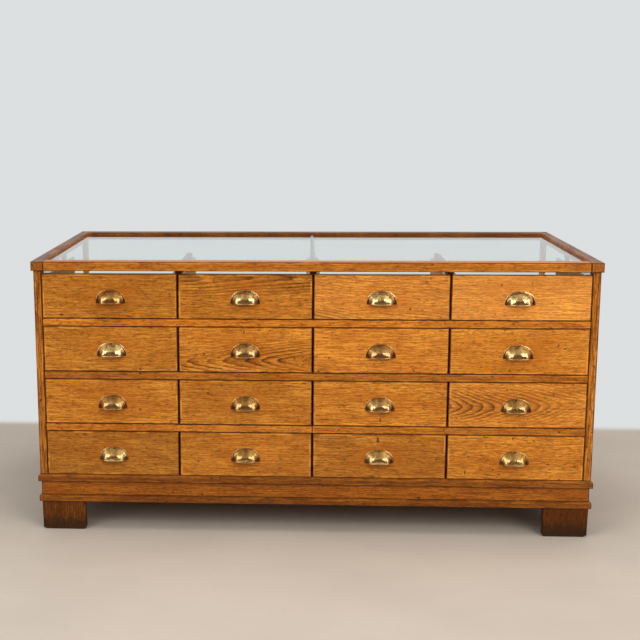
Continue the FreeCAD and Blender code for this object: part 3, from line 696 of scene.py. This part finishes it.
def show_node(node, material):
    """Keeps a node's own mesh and gives it a material."""
    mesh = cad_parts[node].data
    mesh.materials.clear()
    mesh.materials.append(material)


# Plinth mouldings: one profile taken round the counter, mitred at the corners
def arc(centre_out, centre_up, radius, start, end, steps=6):
    """Points of an arc between two angles in degrees."""
    points = []
    for step in range(steps + 1):
        angle = math.radians(start + (end - start) * step / steps)
        points.append((centre_out + radius * math.cos(angle),
                       centre_up + radius * math.sin(angle)))
    return points


def mitred_form(profile, side):
    """A profile of (out, up) points along one side, from mitre to mitre."""
    ends = ([], [])
    for out, up in profile:
        left, right = CARCASS_LOW.x - out, CARCASS_HIGH.x + out
        near, far = CARCASS_LOW.y - out, CARCASS_HIGH.y + out
        pair = {
            "front": ((left, near), (right, near)),
            "right": ((right, near), (right, far)),
            "rear": ((right, far), (left, far)),
            "left": ((left, far), (left, near)),
        }[side]
        for end, (x, y) in zip(ends, pair):
            end.append(Vector((x, y, up)))
    form = bmesh.new()
    first, last = ([form.verts.new(point) for point in end] for end in ends)
    for index in range(len(profile)):
        after = (index + 1) % len(profile)
        form.faces.new((first[index], first[after], last[after], last[index]))
    form.faces.new(first)
    form.faces.new(list(reversed(last)))
    return form


def plinth_profiles():
    """The lower moulding, the fascia and the cap, each as (out, up) points."""
    fascia_foot = PLINTH_FOOT + LOW_MOULDING_HEIGHT
    cap_foot = fascia_foot + FASCIA_HEIGHT
    nose = LOW_MOULDING_NOSE
    low = [(LOW_MOULDING_OUT - MOULDING_DEPTH, PLINTH_FOOT)]
    low += arc(LOW_MOULDING_OUT - nose, PLINTH_FOOT + nose, nose, -90, 0)
    low += arc(LOW_MOULDING_OUT - nose, fascia_foot - nose, nose, 0, 90)
    low.append((LOW_MOULDING_OUT - MOULDING_DEPTH, fascia_foot))
    fascia = [(FASCIA_OUT - FASCIA_DEPTH, fascia_foot), (FASCIA_OUT, fascia_foot),
              (FASCIA_OUT, cap_foot), (FASCIA_OUT - FASCIA_DEPTH, cap_foot)]
    cap = [(CAP_OUT - MOULDING_DEPTH, cap_foot)]
    cap += arc(CAP_OUT - CAP_EASE, cap_foot + CAP_EASE, CAP_EASE, -90, 0, steps=3)
    cap += arc(CAP_OUT - CAP_NOSE, PLINTH_TOP - CAP_NOSE, CAP_NOSE, 0, 90)
    cap.append((CAP_OUT - MOULDING_DEPTH, PLINTH_TOP))
    return {"low": low, "fascia": fascia, "cap": cap}


def plinth(wood):
    for side in ("front", "rear", "left", "right"):
        whole = bmesh.new()
        for part, profile in plinth_profiles().items():
            form = mitred_form(profile, side)
            stamp_grain(form, "{}_{}".format(part, side), tone=PLINTH_TONES[part])
            add_form(whole, form)
        node = "plinth_" + side
        finish_piece(node + "_wood", whole, [wood], "carcass", [node])


# Cup pulls: a pressed half dome with a flange, a rolled lip and three screws
def arch_ring(form, across, up, depth):
    """Corners along an arch that is fuller than an ellipse, from right to left."""
    ring = []
    for step in range(ARCH_STEPS + 1):
        angle = math.pi * step / ARCH_STEPS
        reach = math.copysign(abs(math.cos(angle)) ** ARCH_POWER, math.cos(angle))
        rise = max(math.sin(angle), 0.0) ** ARCH_POWER
        ring.append(form.verts.new((reach * across, -depth, rise * up)))
    return ring


def flange_rings(half_width, height, across, up):
    """Half widths, heights and depths of the flange's rings, from the rim to the cup."""
    rings = [(half_width - aside * MM, height - upward * MM, PULL_WALL * out)
             for aside, upward, out in RIM_RINGS]
    rings += [(across + aside * MM, up + upward * MM, PULL_WALL * out)
              for aside, upward, out in CUP_FOOT_RINGS]
    return rings


def cup_rings(across, up, foot, projection):
    """Half widths, heights and depths of a cup's rings: a slope, a round shoulder, a crown."""
    rings = []
    for share in CUP_RINGS:
        start = (1 - share) ** 2
        bend = 2 * CUP_FULLNESS * share * (1 - share)
        whole = start + bend + share ** 2
        shoulder = bend * CUP_SHOULDER
        rings.append(((start + shoulder.x) / whole * across, (start + shoulder.y) / whole * up,
                      foot + (projection - foot) * (shoulder.z + share ** 2) / whole))
    return rings


def skin(form, rings):
    """Faces between each ring of corners and the next."""
    for low, high in zip(rings, rings[1:]):
        for index in range(len(low) - 1):
            form.faces.new((low[index], low[index + 1], high[index + 1], high[index]))


def skin_round(form, rings):
    """Faces between rings that close on themselves."""
    skin(form, [ring + ring[:1] for ring in rings])


def pull_shell(form, half_width, height, projection):
    """Adds the pressed sheet of a pull, and gives the rings of its cup."""
    across, up = half_width - PULL_FLANGE, height - PULL_TOP_FLANGE
    flange = flange_rings(half_width, height, across, up)
    cup = cup_rings(across, up, CUP_FOOT_OUT, projection)
    hollow = cup_rings(across - PULL_WALL, up - PULL_WALL, 0, projection - PULL_WALL)
    outer = [arch_ring(form, *ring) for ring in flange + cup]
    inner = [arch_ring(form, *ring) for ring in hollow]
    skin(form, outer)
    skin(form, [list(reversed(ring)) for ring in inner])
    skin(form, [inner[0], outer[0]])
    form.faces.new(outer[-1])
    form.faces.new(list(reversed(inner[-1])))
    form.faces.new((outer[-1][0], outer[-1][-1], inner[-1][-1], inner[-1][0]))
    for end in (0, -1):
        rim = [ring[end] for ring in outer]
        inside = [ring[end] for ring in inner]
        form.faces.new(rim[:len(flange)] + [inside[0]])
        pairs = list(zip(rim[len(flange) - 1:], inside))
        for (out_a, in_a), (out_b, in_b) in zip(pairs, pairs[1:]):
            form.faces.new((out_a, out_b, in_b, in_a))
    return cup


def rolled_lip(form, cup):
    """Adds a round lip with closed ends along the open edge of the cup."""
    half = [Vector((wide, -depth, LIP_RADIUS)) for wide, _, depth in cup[1:]]
    path = half + [Vector((-spot.x, spot.y, spot.z)) for spot in reversed(half)]
    rings = []
    for index, spot in enumerate(path):
        ahead = (path[min(index + 1, len(path) - 1)] - path[max(index - 1, 0)]).normalized()
        outward = ahead.cross(UP).normalized()
        ring = []
        for step in range(LIP_SIDES):
            turn = 2 * math.pi * step / LIP_SIDES
            offset = LIP_RADIUS * (outward * math.cos(turn) + UP * math.sin(turn))
            ring.append(form.verts.new(spot + offset))
        rings.append(ring)
    skin_round(form, rings)
    form.faces.new(rings[0])
    form.faces.new(list(reversed(rings[-1])))


def screw_head(form, centre, slot_turn):
    """Adds a low domed head, cut across by a slot."""
    rings = []
    for share, rise in SCREW_RINGS:
        ring = []
        for step in range(SCREW_SIDES):
            turn = 2 * math.pi * step / SCREW_SIDES
            offset = Vector((math.cos(turn) * share * SCREW_RADIUS, -rise * MM,
                             math.sin(turn) * share * SCREW_RADIUS))
            ring.append(form.verts.new(centre + offset))
        rings.append(ring)
    skin_round(form, rings)
    along = Vector((math.cos(slot_turn), 0, math.sin(slot_turn)))
    beside = Vector((-math.sin(slot_turn), 0, math.cos(slot_turn)))
    top = rings[-1]
    upper = [corner for corner in top if (corner.co - centre).dot(beside) > 0]
    lower = [corner for corner in top if (corner.co - centre).dot(beside) <= 0]
    for group, side in ((upper, 1), (lower, -1)):
        group.sort(key=lambda corner: side * (corner.co - centre).dot(along), reverse=True)
        brink = centre + beside * side * SCREW_SLOT_HALF_WIDTH - Vector((0, SCREW_TOP, 0))
        ends = [form.verts.new(brink + along * reach * SCREW_SLOT_REACH)
                for reach in (-side, side)]
        floor = [form.verts.new(end.co + Vector((0, SCREW_SLOT_DEPTH, 0))) for end in ends]
        form.faces.new(group + ends)
        form.faces.new((ends[0], ends[1], floor[1], floor[0]))


def cup_pull(row, column, metal, screw_metal):
    """The pull of one drawer, as large as its node's box."""
    name = "row{}_col{}".format(row, column)
    node = "pull_" + name
    low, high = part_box(node)
    half_width = (high.x - low.x) / 2
    height = high.z - low.z
    form = bmesh.new()
    cup = pull_shell(form, half_width, height, high.y - low.y - LIP_RADIUS)
    rolled_lip(form, cup)
    pressed = len(form.faces)
    chance = random.Random(node + "_screws")
    aside = half_width - SCREW_INSET
    for x, z, out in ((0, height - SCREW_INSET, TOP_SCREW_OUT),
                      (aside, SCREW_INSET, SIDE_SCREW_OUT),
                      (-aside, SCREW_INSET, SIDE_SCREW_OUT)):
        screw_head(form, Vector((x, -PULL_WALL - out, z)), chance.uniform(0, math.pi))
    for face in form.faces[:][pressed:]:
        face.material_index = 1
    stamp_grain(form, node)
    middle = Vector(((low.x + high.x) / 2, high.y, low.z))
    bmesh.ops.translate(form, verts=form.verts, vec=middle)
    finish_piece(node + "_cup", form, [metal, screw_metal], name, [node])


# Camera, light and surroundings
def make_camera():
    camera = new_object("camera", bpy.data.cameras.new("camera"))
    forward = Vector((math.sin(CAMERA_YAW) * math.cos(CAMERA_PITCH),
                      math.cos(CAMERA_YAW) * math.cos(CAMERA_PITCH), math.sin(CAMERA_PITCH)))
    level = Vector((math.cos(CAMERA_YAW), -math.sin(CAMERA_YAW), 0))
    upright = level.cross(forward)
    right = level * math.cos(CAMERA_ROLL) + upright * math.sin(CAMERA_ROLL)
    top = upright * math.cos(CAMERA_ROLL) - level * math.sin(CAMERA_ROLL)
    turn = Matrix((right, top, -forward)).transposed().to_4x4()
    camera.matrix_world = Matrix.Translation(CAMERA_PLACE) @ turn
    camera.data.sensor_width = CAMERA_SENSOR
    camera.data.lens = CAMERA_LENS
    camera.data.shift_x = CAMERA_SHIFT
    camera.data.clip_end = CAMERA_REACH
    bpy.context.scene.camera = camera


def make_lamp(name, place, aim, width, height, power, colour):
    """A soft lamp that lights the counter and is neither seen nor reflected."""
    data = bpy.data.lights.new(name, "AREA")
    data.shape = "RECTANGLE"
    data.size = width
    data.size_y = height
    data.energy = power
    data.color = colour
    lamp = new_object(name, data)
    lamp.location = place
    lamp.rotation_euler = (aim - place).to_track_quat("-Z", "Y").to_euler()
    lamp.visible_camera = False
    lamp.visible_glossy = False
    lamp.visible_transmission = False


def window_shape(tree, heading, place, half_width, half_height):
    """1 where a ray heads for a window of two panes, less at its edges and its bar."""
    toward = (place - FRONTS_MIDDLE).normalized()
    level = toward.cross(UP).normalized()
    upright = level.cross(toward)
    across = calc(tree, "ABSOLUTE", vector_number(tree, "DOT_PRODUCT", heading, level))
    up = calc(tree, "ABSOLUTE", vector_number(tree, "DOT_PRODUCT", heading, upright))
    ahead = vector_number(tree, "DOT_PRODUCT", heading, toward)
    full, gone = WINDOW_FADE
    shape = product(tree, remap(tree, across, half_width * full, half_width * gone, 1.0, 0.0),
                    remap(tree, up, half_height * full, half_height * gone, 1.0, 0.0))
    shape = product(tree, shape, remap(tree, across, *WINDOW_BAR, 0.3, 1.0))
    return product(tree, shape, remap(tree, ahead, 0.0, 0.2))


def mirrored_room(tree, heading):
    """Brown walls with darker shapes, a pale ceiling and windows; the far wall is pale."""
    across, ahead, up = axes(tree, heading)
    overhead = product(tree, remap(tree, up, 0.15, 0.6),
                       remap(tree, calc(tree, "ABSOLUTE", across), 0.08, 0.42, 0.35, 1.0))
    colour = blend_colour(tree, overhead, ROOM_COLOUR, CEILING_COLOUR)
    shapes = patches(tree, heading, (3.2, 3.2, 4.2), 0.46, 0.58, 0.0, 0.75)
    colour = blend_colour(tree, shapes, colour, DARK_ROOM_COLOUR)
    windows = [window_shape(tree, heading, *window) for window in MIRRORED_WINDOWS]
    colour = blend_colour(tree, largest(tree, *windows), colour, WINDOW_COLOUR)
    return blend_colour(tree, remap(tree, ahead, 0.30, 0.70), colour, WALL_COLOUR)


def make_world():
    """Even light, stronger from above; metal and glass reflect a room instead."""
    world = bpy.data.worlds.new("world")
    world.use_nodes = True
    tree = world.node_tree
    heading = make(tree, "TexCoord").outputs["Generated"]
    up = axes(tree, heading)[2]
    even = tree.nodes["Background"]
    fill(tree, even, {"Color": DAYLIGHT_COLOUR,
                      "Strength": remap(tree, up, -0.05, 0.85, DAYLIGHT_BELOW, DAYLIGHT_ABOVE)})
    room = make(tree, "Background", mirrored_room(tree, heading)).outputs[0]
    wall = make(tree, "Background", WALL_COLOUR).outputs[0]
    lighting = mix_shaders(tree, ray_is(tree, "Glossy"), even.outputs[0], room)
    surface = mix_shaders(tree, seen_ray(tree), lighting, wall)
    fill(tree, tree.nodes["World Output"], {"Surface": surface})
    bpy.context.scene.world = world


def concrete(tree, place):
    """Pale concrete, slightly cloudy and gritty."""
    darker = tuple(part * FLOOR_SHADE for part in FLOOR_COLOUR)
    cloud = patches(tree, place, (1.6, 2.3, 1), 0.32, 0.68, detail=4.0)
    colour = blend_colour(tree, cloud, FLOOR_COLOUR, darker)
    grit = patches(tree, place, (45, 45, 45), 0.4, 0.75, 0.0, 0.3)
    return blend_colour(tree, grit, colour, darker)


def make_floor():
    """A floor that shows the paleness of the wall beyond the counter and far away.

    Metal and glass reflect it as dim in front of the counter.
    """
    mesh = bpy.data.meshes.new("floor")
    reach = FLOOR_REACH
    mesh.from_pydata(((-reach, -reach, 0), (reach, -reach, 0), (reach, reach, 0),
                      (-reach, reach, 0)), [], [(0, 1, 2, 3)])
    material, tree, shader = new_material("floor")
    place = object_place(tree)
    fill(tree, shader, {"Base Color": concrete(tree, place), "Roughness": 0.75,
                        "Specular IOR Level": 0.2})
    toward_rear = axes(tree, place)[1]
    in_front = remap(tree, toward_rear, *DIM_FLOOR, 1.0, 0.0)
    beyond = remap(tree, toward_rear, FLOOR_END - FLOOR_END_BLUR, FLOOR_END + FLOOR_END_BLUR)
    far_away = remap(tree, vector_number(tree, "LENGTH", place), *FLOOR_FADE)
    reflected = ray_is(tree, "Glossy")
    dim = make(tree, "Emission", ROOM_COLOUR).outputs[0]
    pale = make(tree, "Emission", WALL_COLOUR).outputs[0]
    surface = mix_shaders(tree, product(tree, in_front, reflected), shader.outputs[0], dim)
    shown_pale = largest(tree, product(tree, seen_ray(tree), largest(tree, beyond, far_away)),
                         product(tree, reflected, beyond))
    surface = mix_shaders(tree, shown_pale, surface, pale)
    fill(tree, tree.nodes["Material Output"], {"Surface": surface})
    mesh.materials.append(material)
    floor = new_object("floor", mesh)


make_camera()
make_world()
make_floor()
for lamp in LAMPS:
    make_lamp(*lamp)
bpy.context.scene.view_settings.view_transform = "Standard"

# Materials
front_look = {"pale": (0.88, 0.355, 0.042), "deep": (0.36, 0.095, 0.005),
              "line": (0.045, 0.010, 0.002), "red": (0.46, 0.108, 0.004),
              "streaks": 0.76, "smudge": 0.5, "fading_and_light": 0.26}
front_oak = oak("front_oak", **front_look)
figured_oak = oak("figured_oak", **front_look, figure=1.4, ring_gap=WIDE_RING_GAP, taper=1.0)
rail_oak = oak("rail_oak", pale=(0.74, 0.27, 0.028), deep=(0.36, 0.090, 0.005),
               line=(0.030, 0.007, 0.002), red=(0.44, 0.100, 0.005), figure=0.15, grime_and_shade=1.0)
post_oak = oak("post_oak", pale=(0.62, 0.225, 0.022), deep=(0.18, 0.045, 0.004),
               line=(0.016, 0.005, 0.002), red=(0.26, 0.060, 0.004), figure=0.6, streaks=1.0)
end_oak = oak("end_oak", pale=(0.58, 0.21, 0.026), deep=(0.25, 0.066, 0.006),
              line=(0.030, 0.008, 0.002), red=(0.33, 0.08, 0.006), figure=0.5)
top_oak = oak("top_oak", pale=(0.50, 0.17, 0.024), deep=(0.20, 0.052, 0.006),
              line=(0.026, 0.008, 0.003), red=(0.26, 0.064, 0.006), figure=0.3,
              stained_top=0.75)
plinth_oak = oak("plinth_oak", pale=(0.40, 0.125, 0.009), deep=(0.155, 0.037, 0.002),
                 line=(0.016, 0.004, 0.001), red=(0.21, 0.045, 0.002), figure=0.3, grime_and_shade=1.0)
feet_oak = dark_foot_oak("feet_oak")
plain_oak = oak("plain_oak", pale=(0.50, 0.29, 0.125), deep=(0.34, 0.175, 0.065),
                line=(0.13, 0.06, 0.02), red=(0.38, 0.18, 0.065), roughness=0.6)
divider_oak = oak("divider_oak", pale=(0.20, 0.075, 0.018), deep=(0.09, 0.028, 0.007),
                  line=(0.02, 0.008, 0.003), red=(0.12, 0.032, 0.007), roughness=0.6,
                  gloss=0.1)
old_brass = brass("old_brass")
browned_screws = screw_steel("browned_screws")
clear_glass = glass("clear_glass", (0.925, 0.975, 0.96))

# Pieces
boards("top_rail_front", rail_oak, tone=0.6)
boards("drawer_rails", rail_oak, tone=0.42)
boards("top_rail_left", top_oak, tone=0.9)
boards("top_rail_right", top_oak, tone=1.2)
boards("top_rail_rear", top_oak, tone=-0.3)
for node in ("front_post_left", "rear_post_left"):
    boards(node, post_oak, tone=0.65)
for node in ("front_post_right", "rear_post_right"):
    boards(node, post_oak, tone=1.3)
for node in ("end_frame_left", "end_frame_right", "rear_frame"):
    boards(node, end_oak)
for node in ("end_panels_left", "end_panels_right", "rear_panels"):
    boards(node, end_oak, grain=UPRIGHT, tone=0.5)
plinth(plinth_oak)
boards("feet", feet_oak, ease=FOOT_EASE, grain=UPRIGHT, tone=0.5)
boards("drawer_dividers", divider_oak, ease=0)
for node in ("drawer_runners", "display_floor", "base_board"):
    boards(node, plain_oak, ease=0)
for row in ROWS:
    for column in COLUMNS:
        front_wood = figured_oak if (row, column) in FLAMES else front_oak
        drawer(row, column, front_wood, plain_oak)
        cup_pull(row, column, old_brass, browned_screws)
show_node("top_glazing_bar", plated_bar("plated_bar"))
for node in ("top_glass", "end_glass", "rear_glass"):
    show_node(node, clear_glass)
